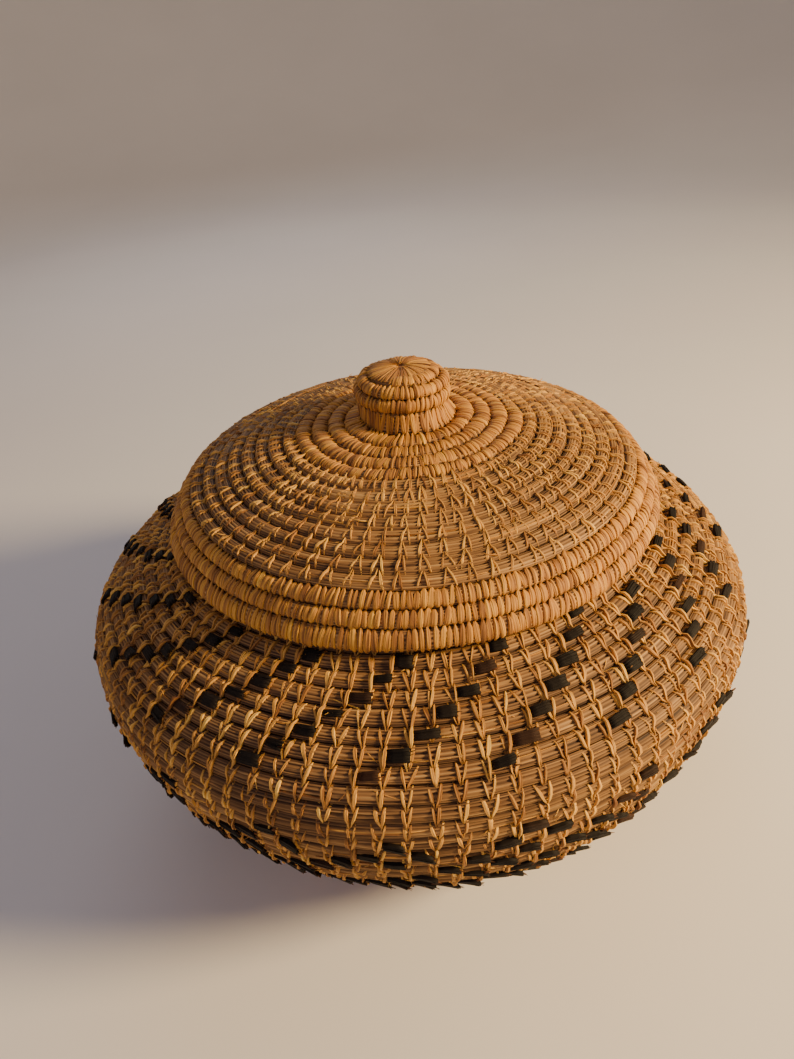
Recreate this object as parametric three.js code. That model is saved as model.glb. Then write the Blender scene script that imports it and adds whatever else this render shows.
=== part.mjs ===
// A squat coiled basket with an overlapping domed lid and a knob, in millimetres with +Z up.
//
// A coiled basket is one long bundle of grass, wound in a spiral and sewn row to row. The bowl is
// one such spiral and the lid is another, and the lid lifts straight off. Each named mesh is a
// run of rows of one of the two spirals: its outside has the rounded rows, its inside is the plain
// wall, and it ends where the next run begins. The shoulder also has the short strips that are
// laid along its rows.

import * as THREE from "three";

// Outside sizes of the bowl
const BELLY_DIAMETER = 300;
const BELLY_HEIGHT = 100; // of the widest row
const FOOT_DIAMETER = 120; // the flat that it stands on
const FOOT_ROUNDING = 46; // how far the foot's curve runs out, nearly level, from the flat
const BELLY_RISE = 45; // how far below its widest row the wall is nearly upright
const SHOULDER_HEIGHT = 141; // where the lid's edge rests
const SHOULDER_SLOPE = THREE.MathUtils.degToRad(28);
const SHOULDER_RISE = 18; // how far above its widest row the wall is nearly upright
const SHOULDER_RUN = 32; // length of the nearly straight slope below the lid's edge
const NECK_HEIGHT = 14; // of the collar above the lid's edge
const NECK_ROUNDING = 5; // of the inside corner between the shoulder and the collar

// Outside sizes of the lid
const LID_DIAMETER = 218;
const BAND_HEIGHT = 22.5; // the wrapped band, from the lid's edge to the edge of its field
const BAND_SLOPE = THREE.MathUtils.degToRad(81); // at the lid's edge
const BAND_TURN_IN = 7; // how far the band keeps the field's slope
const BAND_UPRIGHT = 8; // how far above the lid's edge the band is nearly upright
const FIELD_DIAMETER = 188;
const WRAPPED_FIELD_DIAMETER = 90; // the rows round the knob's foot that are close-wrapped too
const DOME_RADIUS = 240; // of the field, seen from the side
const KNOB_DIAMETER = 38; // at its foot, where it is narrowest
const KNOB_HEIGHT = 21.5; // above the field at its foot
const KNOB_CROWN = 17; // half-width of the knob's nearly flat crown
const KNOB_SIDE = 12; // height of its nearly upright side
const KNOB_SWELL = 4; // how far the side is drawn out below the crown
const KNOB_FOOT_ROUNDING = 5;

// The coil: thickness of the wall, height of one row, and the grooves between rows
const COIL_THICKNESS = 6.4;
const GROOVE_DEPTH = 1.5;
const CROWN_SHARE = 0.6; // of a row's height, nearly flat between its two rounded sides
const BOWL_ROW = 6.5;
const KNOB_ROW = 7.2;
const FIELD_ROW = 6.1;
const BAND_ROW = 6.75;
const BUTTON_RADIUS = 4; // the tight start of each spiral
const EDGE_ROUNDING = 1.6; // how far a finished edge is rounded out
const COIL_END = 0.25; // share of a row left where the last row has thinned out
const MIN_ROWS = 2; // in a run, so that its two cut ends lie a row apart

// The short dark strips laid along the rows of the shoulder, in lines that slant round the bowl.
// Each strip is tucked in at one end and stands off its row at the other.
const STRIP_LINES = 20; // round the bowl
const STRIP_LINE_SLANT = THREE.MathUtils.degToRad(3.78); // on from one row to the next
const FIRST_STRIP_LINE = THREE.MathUtils.degToRad(4);
const STRIP_ROWS = [34, 40]; // turns of the coil between which the rows have them
const STRIP_LENGTH = 8.2;
const STRIP_RISE = 2;
const STRIP_WIDTH_SHARE = 0.9; // of the row's flat crown
const STRIP_END_MARGIN = 0.03; // share of a step that stays plain at its ends

// Clearances
const PIECE_GAP = 0.3;
const NECK_CLEARANCE = 3; // between the collar and the inside of the lid's field edge

// Facets
const STEPS_PER_TURN = 24;
const FACET_SPREAD = 2 / (1 + Math.cos(Math.PI / STEPS_PER_TURN)); // half outside the round

// The outside of a row as shares of its height and of the groove's depth. The rows of the base
// are pressed flat, and the collar that the lid hides is plainer.
const crownStart = (1 - CROWN_SHARE) / 2;
const SHOWN_ROW = [[0, 1], [crownStart, 0], [1 - crownStart, 0], [1, 1]];
const HIDDEN_ROW = [[0, 1], [0.5, 0], [1, 1]];
const FLAT_ROW = [[0, 0], [1, 0]];

const straw = (color, roughness = 0.8) =>
  new THREE.MeshStandardMaterial({ color, roughness, metalness: 0 });
const MATERIALS = {
  openStitched: straw(0xb8874a),
  closeWrapped: straw(0xcf9a4e, 0.7),
  buttonWrap: straw(0xc08f48),
};

const at = (r, z) => new THREE.Vector2(r, z);
const along = (angle, length) =>
  at(Math.cos(angle) * length, Math.sin(angle) * length);

// Joins curves that meet end to end into one outline, from the axis outwards.
function outline(curves) {
  const path = new THREE.CurvePath();
  curves.forEach((curve) => path.add(curve));
  return path;
}

// The outside of the bowl, from the middle of its base to the top of its collar
const bellyRadius = BELLY_DIAMETER / 2;
const footRadius = FOOT_DIAMETER / 2;
const seatRadius = LID_DIAMETER / 2 - COIL_THICKNESS;
const neckRadius = FIELD_DIAMETER / 2 - NECK_CLEARANCE;

function bowlCurves() {
  const foot = at(footRadius, 0);
  const belly = at(bellyRadius, BELLY_HEIGHT);
  const seat = at(seatRadius, SHOULDER_HEIGHT);
  const inwards = Math.PI - SHOULDER_SLOPE;
  const corner = seat.clone();
  corner.add(
    along(inwards, (seatRadius - neckRadius) / Math.cos(SHOULDER_SLOPE)),
  );
  const cornerStart = corner.clone().sub(along(inwards, NECK_ROUNDING));
  const cornerEnd = corner.clone().add(at(0, NECK_ROUNDING));
  return {
    base: new THREE.LineCurve(at(0, 0), foot),
    lower: new THREE.CubicBezierCurve(
      foot,
      at(footRadius + FOOT_ROUNDING, 0),
      at(bellyRadius, BELLY_HEIGHT - BELLY_RISE),
      belly,
    ),
    shoulder: new THREE.CubicBezierCurve(
      belly,
      at(bellyRadius, BELLY_HEIGHT + SHOULDER_RISE),
      seat.clone().sub(along(inwards, SHOULDER_RUN)),
      seat,
    ),
    seat: new THREE.LineCurve(seat, cornerStart),
    corner: new THREE.QuadraticBezierCurve(cornerStart, corner, cornerEnd),
    collar: new THREE.LineCurve(
      cornerEnd,
      at(neckRadius, SHOULDER_HEIGHT + NECK_HEIGHT),
    ),
  };
}

// The outside of the lid, from the middle of its knob to its edge
const lidRadius = LID_DIAMETER / 2;
const fieldRadius = FIELD_DIAMETER / 2;
const knobRadius = KNOB_DIAMETER / 2;
const lidEdgeHeight = SHOULDER_HEIGHT + PIECE_GAP + EDGE_ROUNDING;

function lidCurves() {
  const edge = at(lidRadius, lidEdgeHeight);
  const fieldEdge = at(fieldRadius, lidEdgeHeight + BAND_HEIGHT);
  const domeCentre =
    fieldEdge.y - Math.sqrt(DOME_RADIUS ** 2 - fieldRadius ** 2);
  const domeAt = (r) => at(r, domeCentre + Math.sqrt(DOME_RADIUS ** 2 - r * r));
  const slopeAt = (r) => -Math.asin(r / DOME_RADIUS);
  const knobFoot = domeAt(knobRadius);
  const footTop = knobFoot.clone().add(at(0, KNOB_FOOT_ROUNDING));
  const footEnd = domeAt(knobRadius + KNOB_FOOT_ROUNDING);
  const crown = knobFoot.y + KNOB_HEIGHT;
  const domeArc = (from, to) =>
    new THREE.EllipseCurve(
      0,
      domeCentre,
      DOME_RADIUS,
      DOME_RADIUS,
      Math.PI / 2 + slopeAt(from),
      Math.PI / 2 + slopeAt(to),
      true,
    );
  return {
    knob: new THREE.CubicBezierCurve(
      at(0, crown),
      at(KNOB_CROWN, crown),
      footTop.clone().add(at(KNOB_SWELL, KNOB_SIDE)),
      footTop,
    ),
    knobFoot: new THREE.QuadraticBezierCurve(footTop, knobFoot, footEnd),
    wrappedField: domeArc(footEnd.x, WRAPPED_FIELD_DIAMETER / 2),
    field: domeArc(WRAPPED_FIELD_DIAMETER / 2, fieldRadius),
    band: new THREE.CubicBezierCurve(
      fieldEdge,
      fieldEdge.clone().add(along(slopeAt(fieldRadius), BAND_TURN_IN)),
      edge.clone().sub(along(-BAND_SLOPE, BAND_UPRIGHT)),
      edge,
    ),
  };
}

// A spiral: its outline, the side of the outline that is outside, and its stretches. A stretch has
// the whole number of rows that comes closest to its row height, shared out among its runs.
function spiral(outsideSign, stretches) {
  const path = outline(stretches.flatMap((stretch) => stretch.curves));
  const length = path.getLength();
  const marks = [{ turn: 0, along: BUTTON_RADIUS }];
  const runs = [];
  stretches.forEach((stretch, k) => {
    const { turn, along: before } = marks[k];
    const end = stretch.curves.reduce(
      (sum, curve) => sum + curve.getLength(),
      k ? before : 0,
    );
    const rows = Math.max(
      MIN_ROWS * stretch.names.length,
      Math.round((end - before) / stretch.row),
    );
    marks.push({ turn: turn + rows, along: end });
    const share = (n) => turn + Math.round((rows * n) / stretch.names.length);
    stretch.names.forEach((name, n) =>
      runs.push({ ...stretch, name, from: share(n), to: share(n + 1) }),
    );
  });
  const [beforeLast, last] = marks.slice(-2);
  const finalRow =
    (last.along - beforeLast.along) / (last.turn - beforeLast.turn);

  // Distance along the outline of a row's inner edge, after so many turns of the coil
  function distance(turn) {
    const k = marks.findIndex((mark) => turn <= mark.turn);
    if (k === 0) return marks[0].along;
    if (k < 0) return last.along + (turn - last.turn) * finalRow;
    const [a, b] = [marks[k - 1], marks[k]];
    return THREE.MathUtils.mapLinear(turn, a.turn, b.turn, a.along, b.along);
  }

  // A point at a distance along the outline and a depth below it, in the plane of the axis
  function point(distanceAlong, depth) {
    const t = THREE.MathUtils.clamp(distanceAlong / length, 0, 1);
    const tangent = path.getTangent(t);
    const outside = at(tangent.y, -tangent.x).multiplyScalar(outsideSign);
    return path.getPoint(t).addScaledVector(outside, -depth);
  }
  return { distance, point, length, runs, outsideSign, turns: last.turn };
}

// One run of rows as a closed solid. The outside has the rounded rows, which share their edges
// from turn to turn, so that a run is one unbroken coil; the inside is the plain wall.
function runOfRows(coil, run) {
  const profile = run.profile ?? SHOWN_ROW;
  const faces = profile.length - 1;
  const isLast = run.to === coil.turns;
  const firstStep = run.from * STEPS_PER_TURN;
  const thinning = isLast ? 1 - COIL_END : 0;
  const lastStep =
    (run.to - (isLast ? 1 : 0)) * STEPS_PER_TURN +
    Math.round(thinning * STEPS_PER_TURN);
  const positions = [];
  const triangles = [];
  const known = new Map();

  function vertex(step, face, inside) {
    if (face === faces && step + STEPS_PER_TURN <= lastStep)
      return vertex(step + STEPS_PER_TURN, 0, inside);
    const key = [step, face, inside].join();
    if (known.has(key)) return known.get(key);
    const turn = step / STEPS_PER_TURN;
    const low = coil.distance(turn);
    const high = Math.min(coil.distance(turn + 1), coil.length);
    const fullRow = coil.distance(turn + 1) - low;
    const [share, groove] = profile[face];
    let s = THREE.MathUtils.lerp(low, high, share);
    if (face === 0 && step <= firstStep + STEPS_PER_TURN) s += PIECE_GAP / 2;
    if (share === 1 && !isLast) s -= PIECE_GAP / 2;
    const crown = ((1 - groove) * (high - low)) / fullRow;
    const p = coil.point(s, inside ? COIL_THICKNESS : GROOVE_DEPTH * (1 - crown));
    const radius = p.x * FACET_SPREAD;
    let angle = turn * 2 * Math.PI;
    if (step === firstStep && face < faces) angle += PIECE_GAP / p.x;
    if (step === lastStep && face > 0) angle -= PIECE_GAP / p.x;
    positions.push(radius * Math.cos(angle), radius * Math.sin(angle), p.y);
    known.set(key, positions.length / 3 - 1);
    return known.get(key);
  }
  const quad = (a, b, c, d) => triangles.push(a, b, c, a, c, d);
  const pointAt = (k) => new THREE.Vector3().fromArray(positions, k * 3);

  // The crown of a row with a strip on it: a wedge that rises from the crown towards its free end
  function crownWithStrip(corners, from, to) {
    const [a, b, c, d] = corners.map(pointAt);
    const out = b.clone().sub(a).cross(d.clone().sub(a)).normalize();
    const rise = out.multiplyScalar(-coil.outsideSign * STRIP_RISE);
    const margin = (1 - STRIP_WIDTH_SHARE) / 2;
    const add = (u, v, raised) => {
      const p = a.clone().lerp(d, u).lerp(b.clone().lerp(c, u), v);
      if (raised) p.add(rise);
      return positions.push(...p.toArray()) / 3 - 1;
    };
    const foot = [
      add(from, margin, false),
      add(from, 1 - margin, false),
      add(to, 1 - margin, false),
      add(to, margin, false),
    ];
    const top = [add(to, 1 - margin, true), add(to, margin, true)];
    corners.forEach((corner, k) => {
      const next = (k + 1) % 4;
      quad(corner, corners[next], foot[next], foot[k]);
    });
    quad(foot[0], foot[1], top[0], top[1]);
    quad(foot[2], foot[3], top[1], top[0]);
    triangles.push(foot[3], foot[0], top[1], foot[1], foot[2], top[0]);
  }

  // Where a strip lies on a step of the coil, as shares of that step, cut short at its ends
  function stripOn(step) {
    const turn = step / STEPS_PER_TURN;
    const [first, last] = run.stripRows ?? [0, 0];
    if (turn < first || turn >= last) return null;
    const around = 2 * Math.PI * coil.point(coil.distance(turn + 0.5), 0).x;
    const length = (STRIP_LENGTH / around) * STEPS_PER_TURN;
    const wholeLine = 1 + STRIP_LINE_SLANT / (2 * Math.PI); // turns until a line comes back
    const passed = (turn - FIRST_STRIP_LINE / (2 * Math.PI)) % wholeLine;
    const line = Math.floor(passed * STRIP_LINES);
    for (const k of [line, line + 1]) {
      const lineAt = k < STRIP_LINES ? k / STRIP_LINES : wholeLine;
      const start = (lineAt - passed) * STEPS_PER_TURN;
      const from = Math.max(start, STRIP_END_MARGIN);
      const to = Math.min(start + length, 1 - STRIP_END_MARGIN);
      if (to - from > length / 2) return [from, to];
    }
    return null;
  }

  // Rows, outside and inside
  for (let step = firstStep; step < lastStep; step++) {
    for (let face = 0; face < faces; face++) {
      const corners = [
        vertex(step, face, false),
        vertex(step, face + 1, false),
        vertex(step + 1, face + 1, false),
        vertex(step + 1, face, false),
      ];
      const strip = face === 1 ? stripOn(step) : null;
      if (strip) crownWithStrip(corners, ...strip);
      else quad(...corners);
    }
    quad(
      vertex(step, 0, true),
      vertex(step + 1, 0, true),
      vertex(step + 1, faces, true),
      vertex(step, faces, true),
    );
  }

  // The two long edges: plain where the next run joins on, rounded out where the coil is finished
  function edge(step, face, turned) {
    const [a, b] = turned ? [step + 1, step] : [step, step + 1];
    const corners = [
      vertex(a, face, true),
      vertex(a, face, false),
      vertex(b, face, false),
      vertex(b, face, true),
    ];
    if (turned && isLast) {
      const [rimA, rimB] = [a, b].map((end) => rim(end, face));
      quad(corners[0], rimA, rimB, corners[3]);
      quad(rimA, corners[1], corners[2], rimB);
    } else {
      quad(...corners);
    }
  }
  function rim(step, face) {
    const key = [step, face, "rim"].join();
    if (known.has(key)) return known.get(key);
    const ends = [true, false].map((inside) => pointAt(vertex(step, face, inside)));
    const below = pointAt(vertex(step, face - 1, false));
    const outwards = ends[1].clone().sub(below).setLength(EDGE_ROUNDING);
    const middle = ends[0].add(ends[1]).multiplyScalar(0.5).add(outwards);
    positions.push(...middle.toArray());
    known.set(key, positions.length / 3 - 1);
    return known.get(key);
  }
  for (let k = 0; k < STEPS_PER_TURN; k++) {
    edge(firstStep + k, 0, false);
    edge(lastStep - STEPS_PER_TURN + k, faces, true);
  }

  // The two cut ends of the coil. A finished edge starts on the last cut end and ends on it too.
  function cutEnd(step, turned) {
    const finished = isLast && step === lastStep;
    const ring = finished ? [rim(step - STEPS_PER_TURN, faces)] : [];
    for (let face = 0; face <= faces; face++)
      ring.push(vertex(step, face, false));
    if (finished) ring.push(rim(step, faces));
    ring.push(vertex(step, faces, true));
    const corner = vertex(step, 0, true);
    for (let k = 0; k + 1 < ring.length; k++) {
      const [a, b] = turned ? [ring[k + 1], ring[k]] : [ring[k], ring[k + 1]];
      triangles.push(corner, a, b);
    }
  }
  cutEnd(firstStep, true);
  cutEnd(lastStep, false);
  return solid(positions, triangles);
}

// Turns a list of points and triangles into a geometry whose faces look outwards.
function solid(positions, triangles) {
  const geometry = new THREE.BufferGeometry();
  geometry.setAttribute(
    "position",
    new THREE.Float32BufferAttribute(positions, 3),
  );
  const corner = (k) => new THREE.Vector3().fromArray(positions, triangles[k] * 3);
  let volume = 0;
  for (let k = 0; k < triangles.length; k += 3)
    volume += corner(k).dot(corner(k + 1).cross(corner(k + 2)));
  geometry.setIndex(volume < 0 ? triangles.slice().reverse() : triangles);
  geometry.computeVertexNormals();
  return geometry;
}

// The tight start of a spiral: a disc whose edge runs out by one row in its single turn.
function button(coil) {
  const positions = [];
  const triangles = [];
  const rim = [];
  for (let step = 0; step <= STEPS_PER_TURN; step++) {
    const turn = step / STEPS_PER_TURN;
    const s = coil.distance(turn) - PIECE_GAP / 2;
    const angle = turn * 2 * Math.PI - (step ? PIECE_GAP / s : 0);
    for (const depth of [0, COIL_THICKNESS]) {
      const p = coil.point(s, depth);
      const radius = p.x * FACET_SPREAD;
      positions.push(radius * Math.cos(angle), radius * Math.sin(angle), p.y);
      if (depth === 0) rim.push(at(Math.cos(angle), Math.sin(angle)).multiplyScalar(radius));
    }
  }
  const outside = (k) => 2 * (k % rim.length);
  THREE.ShapeUtils.triangulateShape(rim, []).forEach(([a, b, c]) => {
    triangles.push(outside(a), outside(b), outside(c));
    triangles.push(outside(a) + 1, outside(c) + 1, outside(b) + 1);
  });
  rim.forEach((_, k) => {
    const [a, b] = [outside(k), outside(k + 1)];
    triangles.push(a, a + 1, b, b, a + 1, b + 1);
  });
  return solid(positions, triangles);
}

function named(name, geometry, material) {
  const mesh = new THREE.Mesh(geometry, material);
  mesh.name = name;
  return mesh;
}

// The bowl, from its base to its mouth
const bowlCurve = bowlCurves();
const bowl = spiral(1, [
  { names: ["base_coil"], curves: [bowlCurve.base], row: BOWL_ROW, profile: FLAT_ROW },
  {
    names: ["foot_coil", "lower_wall_coil", "belly_coil"],
    curves: [bowlCurve.lower],
    row: BOWL_ROW,
  },
  {
    names: ["shoulder_coil"],
    curves: [bowlCurve.shoulder],
    row: BOWL_ROW,
    stripRows: STRIP_ROWS,
  },
  {
    names: ["neck_coil", "mouth_coil"],
    curves: [bowlCurve.seat, bowlCurve.corner, bowlCurve.collar],
    row: BOWL_ROW,
    wrapped: true,
    profile: HIDDEN_ROW,
  },
]);

// The lid, from its knob to its edge
const lidCurve = lidCurves();
const lid = spiral(-1, [
  { names: ["knob_coil"], curves: [lidCurve.knob], row: KNOB_ROW, wrapped: true },
  {
    names: ["knob_foot_coil"],
    curves: [lidCurve.knobFoot, lidCurve.wrappedField],
    row: KNOB_ROW,
    wrapped: true,
  },
  {
    names: ["inner_field_coil", "outer_field_coil"],
    curves: [lidCurve.field],
    row: FIELD_ROW,
  },
  {
    names: ["lid_band_coil"],
    curves: [lidCurve.band],
    row: BAND_ROW,
    wrapped: true,
  },
]);

function assemble(name, coil, centre) {
  const group = new THREE.Group();
  group.name = name;
  group.add(centre);
  coil.runs.forEach((run) => {
    const material = run.wrapped
      ? MATERIALS.closeWrapped
      : MATERIALS.openStitched;
    group.add(named(run.name, runOfRows(coil, run), material));
  });
  return group;
}

const basket = new THREE.Group();
basket.name = "lidded_basket";
basket.add(
  assemble(
    "bowl",
    bowl,
    named("base_button", button(bowl), MATERIALS.buttonWrap),
  ),
);
basket.add(
  assemble(
    "lid",
    lid,
    named("knob_button", button(lid), MATERIALS.buttonWrap),
  ),
);

export default basket;
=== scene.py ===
# %% [markdown]
# # A coiled grass basket with a lid
#
# This notebook dresses a plain model of a squat, round basket. A coiled basket is one long bundle
# of dry grass, wound in a spiral from the middle of the base up to the mouth, and sewn to itself
# with split straw as it goes. The lid is a second bundle, wound from the top of its knob to its
# edge. The plain model has the two spirals as solids. Here they get the grass stems, every stitch
# and wrap, the short dark strips laid into the rows, and their colours.
#
# Everything is in metres, with +Z up and the basket standing on Z = 0. Sizes in the text are in
# millimetres, because that is how a basket maker would measure.

# %% Load the plain model
import math

import bpy
import numpy as np
from mathutils import Matrix, Vector


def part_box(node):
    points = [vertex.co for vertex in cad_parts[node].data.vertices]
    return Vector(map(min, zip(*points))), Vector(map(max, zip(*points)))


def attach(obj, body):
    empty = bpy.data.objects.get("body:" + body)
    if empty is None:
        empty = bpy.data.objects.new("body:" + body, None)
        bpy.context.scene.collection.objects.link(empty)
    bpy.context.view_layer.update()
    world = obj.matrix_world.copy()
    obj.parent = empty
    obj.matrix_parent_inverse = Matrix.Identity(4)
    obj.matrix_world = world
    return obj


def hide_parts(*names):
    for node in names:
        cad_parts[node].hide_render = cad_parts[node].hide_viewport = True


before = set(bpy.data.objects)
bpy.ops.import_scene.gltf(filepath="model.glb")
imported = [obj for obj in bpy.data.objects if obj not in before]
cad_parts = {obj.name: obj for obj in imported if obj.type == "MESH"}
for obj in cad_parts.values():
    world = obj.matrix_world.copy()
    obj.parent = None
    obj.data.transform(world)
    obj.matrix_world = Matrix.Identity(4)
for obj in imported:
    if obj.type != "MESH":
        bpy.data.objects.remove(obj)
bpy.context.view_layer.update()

MM = 0.001
SEED = 7


rng = np.random.default_rng(SEED)

# %% [markdown]
# ## The camera
#
# The basket was photographed from close by, with the camera a little above it, looking down about
# a third of a right angle and held slightly crooked. The camera could be moved by eye until the
# picture fits, but a matrix says exactly how it is held: its right, up and backward directions,
# and its place. The field of view comes from the focal length in pixels of the photograph.

# %% Camera
PHOTO_SIZE = (794, 1059)
FOCAL_PIXELS = 800
EYE = Vector((-6.2, -316.4, 329.6)) * MM
PITCH, ROLL = math.radians(33.02), math.radians(-5.85)
SENSOR_HEIGHT = 24
NEAREST = 0.01  # metres from the camera, well short of the basket

forward = Vector((0, math.cos(PITCH), -math.sin(PITCH)))
level_right = Vector((1, 0, 0))
level_up = level_right.cross(forward)
right = level_right * math.cos(ROLL) + level_up * math.sin(ROLL)
up = level_up * math.cos(ROLL) - level_right * math.sin(ROLL)
lens = bpy.data.cameras.new("photo_camera")
lens.sensor_fit = "VERTICAL"
lens.sensor_height = SENSOR_HEIGHT
lens.lens = FOCAL_PIXELS / PHOTO_SIZE[1] * SENSOR_HEIGHT
lens.clip_start = NEAREST
camera = bpy.data.objects.new("photo_camera", lens)
turned = Matrix((right, up, -forward)).transposed().to_4x4()
camera.matrix_world = Matrix.Translation(EYE) @ turned
bpy.context.scene.collection.objects.link(camera)
bpy.context.scene.camera = camera
print("lens", round(lens.lens, 2), "mm on a sensor", SENSOR_HEIGHT, "mm high")

# %% [markdown]
# ## The floor
#
# A flat floor would show its far edge behind the basket. A pale floor that curves up all round,
# like a photographer's paper sweep, has no such line. By hand it starts as a flat disc. Its rim is
# extruded again and again, each time a little further out and up, so that it follows a quarter
# circle and ends in an upright wall.

# %% Floor
FLOOR_RADIUS, FLOOR_SIDES = 1.4, 96
SWEEP_RADIUS, SWEEP_STEPS = 1.6, 16


def deselect_all():
    if bpy.context.mode != "OBJECT":
        bpy.ops.object.mode_set(mode="OBJECT")
    bpy.ops.object.select_all(action="DESELECT")


deselect_all()
bpy.ops.mesh.primitive_circle_add(vertices=FLOOR_SIDES, radius=FLOOR_RADIUS, fill_type="NGON")
floor = bpy.context.object
floor.name = "floor"
bpy.ops.object.mode_set(mode="EDIT")
bpy.ops.mesh.select_mode(type="EDGE")
bpy.ops.mesh.select_all(action="SELECT")
radius, height = FLOOR_RADIUS, 0.0
for step in range(1, SWEEP_STEPS + 1):
    bend = math.pi / 2 * step / SWEEP_STEPS
    next_radius = FLOOR_RADIUS + SWEEP_RADIUS * math.sin(bend)
    next_height = SWEEP_RADIUS * (1 - math.cos(bend))
    bpy.ops.mesh.extrude_edges_move(
        TRANSFORM_OT_translate={"value": (0, 0, next_height - height)}
    )
    grow = next_radius / radius
    bpy.ops.transform.resize(value=(grow, grow, 1))
    radius, height = next_radius, next_height
bpy.ops.object.mode_set(mode="OBJECT")
bpy.ops.object.shade_smooth()
print("floor:", len(floor.data.polygons), "faces, rim at", round(radius, 2), "m")

# %% [markdown]
# ## Helpers for materials
#
# A photograph of straw could be wrapped round each strip, but the eye soon finds what repeats in
# it. A material here is a small network of nodes instead, which gives each strip its own streaks.
# A few helpers keep it readable: they add a node and set its sockets, join two sockets, and do
# sums. A colour ramp turns a number from 0 to 1 into a colour, which suits straw and grass, whose
# colours all lie on one line from dark brown to straw.

# %% Material helpers
def new_material(name):
    made = bpy.data.materials.new(name)
    made.use_nodes = True
    return made, made.node_tree, made.node_tree.nodes["Principled BSDF"]


def node(tree, kind, **settings):
    """A node whose settings are values of its sockets or properties of the node itself."""
    made = tree.nodes.new(kind)
    for key, value in settings.items():
        if key in made.inputs:
            made.inputs[key].default_value = value
        else:
            setattr(made, key, value)
    return made


def join(tree, source, target):
    tree.links.new(source, target)


def ramp(tree, source, stops):
    """Colours along a line, each stop a place and a linear RGB colour."""
    made = node(tree, "ShaderNodeValToRGB")
    points = made.color_ramp.elements
    while len(points) < len(stops):
        points.new(0.5)
    for point, (place, colour) in zip(points, stops):
        point.position = place
        point.color = (*colour, 1)
    join(tree, source, made.inputs["Fac"])
    return made.outputs["Color"]


def calculate(tree, how, first, second):
    """A sum, product or other result of two numbers, either of which may be a socket."""
    made = node(tree, "ShaderNodeMath", operation=how)
    for socket, value in zip(made.inputs, (first, second)):
        if isinstance(value, (int, float)):
            socket.default_value = value
        else:
            join(tree, value, socket)
    return made.outputs["Value"]


# %% [markdown]
# ## The finish of the floor
#
# Seamless paper is matt and almost white, and it is never quite even. Broad, faint clouds keep it
# from looking like a drawing. One colour would do too, but the shadow on it would look too clean.

# %% Floor material
FLOOR_COLOURS = [(0.3, (0.78, 0.75, 0.73)), (0.7, (0.82, 0.79, 0.77))]
FLOOR_ROUGHNESS = 0.75

material, tree, shader = new_material("pale_floor")
place = node(tree, "ShaderNodeTexCoord").outputs["Object"]
cloud = node(tree, "ShaderNodeTexNoise", Scale=3.0, Detail=3.0)
join(tree, place, cloud.inputs["Vector"])
join(tree, ramp(tree, cloud.outputs["Fac"], FLOOR_COLOURS), shader.inputs["Base Color"])
shader.inputs["Roughness"].default_value = FLOOR_ROUGHNESS
floor.data.materials.append(material)
print("floor material:", len(tree.nodes), "nodes")

# %% [markdown]
# ## The light
#
# The photograph has warm light from the right and above, as from a lamp or a low sun in a window,
# and the left side of the basket is in soft shade. A small warm disc gives the light its direction
# and the shadows their edge. One lamp could do, but then the shaded side would be nearly black.
# Two wide and weak discs, on the left and behind, fill that shade, as white walls would.

# %% Light
MIDDLE = Vector((0, 0, 0.1))  # of the basket, at which each lamp is aimed
SKY_COLOUR, SKY_STRENGTH = (0.86, 0.78, 0.90), 0.2


def lamp(name, place, size, power, colour):
    light = bpy.data.lights.new(name, "AREA")
    light.shape = "DISK"
    light.size = size
    light.energy = power
    light.color = colour
    holder = bpy.data.objects.new(name, light)
    holder.location = place
    aim = MIDDLE - Vector(place)
    holder.rotation_euler = aim.to_track_quat("-Z", "Y").to_euler()
    bpy.context.scene.collection.objects.link(holder)


lamp("warm_window", (1.07, -0.34, 0.63), size=0.30, power=35, colour=(1.0, 0.73, 0.37))
lamp("left_fill", (-0.9, -1.0, 0.9), size=0.9, power=2.8, colour=(1.0, 0.88, 0.98))
lamp("back_light", (-0.2, 1.15, 0.9), size=0.9, power=3, colour=(0.92, 0.93, 1.0))
sky = bpy.data.worlds.new("studio")
sky.use_nodes = True
background = sky.node_tree.nodes["Background"]
background.inputs["Color"].default_value = (*SKY_COLOUR, 1)
background.inputs["Strength"].default_value = SKY_STRENGTH
bpy.context.scene.world = sky
print("lamps:", [light.name for light in bpy.data.lights])

# %% [markdown]
# ## The outline of the bowl
#
# The bowl is round, so its shape is one outline, seen from the side: a flat foot, a wall that
# swells to the belly, a shoulder that closes in, and a collar that goes up under the lid. A curve
# object could draw the coil itself, but then every stitch would need its own place on it. An
# outline that is measured along its length lets all of them be placed by counting rows.
#
# Straight lines and smooth curves, each pulled by a few corner points, describe it in real sizes.

# %% Outline of the bowl
CURVE_POINTS = 80
THICKNESS = 6.4  # of the wall, which is one bundle thick
BELLY_RADIUS, BELLY_HEIGHT = 150, 100
BELLY_RISE, SHOULDER_RISE = 45, 18  # how far below and above the belly it is nearly upright
FOOT_RADIUS, FOOT_ROUNDING = 60, 46
SEAT_RADIUS, SEAT_HEIGHT = 102.6, 141  # where the lid's edge rests
SHOULDER_SLOPE, SHOULDER_RUN = math.radians(28), 32
NECK_RADIUS, NECK_TOP, NECK_ROUNDING = 91, 155, 5


def pulled_curve(*corners):
    """Points on the curve that these corner points pull, from the first corner to the last."""
    share = np.linspace(0, 1, CURVE_POINTS)[:, None]
    points = [np.repeat(np.array([corner], float), CURVE_POINTS, axis=0) for corner in corners]
    while len(points) > 1:
        points = [a + (b - a) * share for a, b in zip(points, points[1:])]
    return points[0]


def length_of(points):
    return np.hypot(*np.diff(points, axis=0).T).sum()


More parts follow.
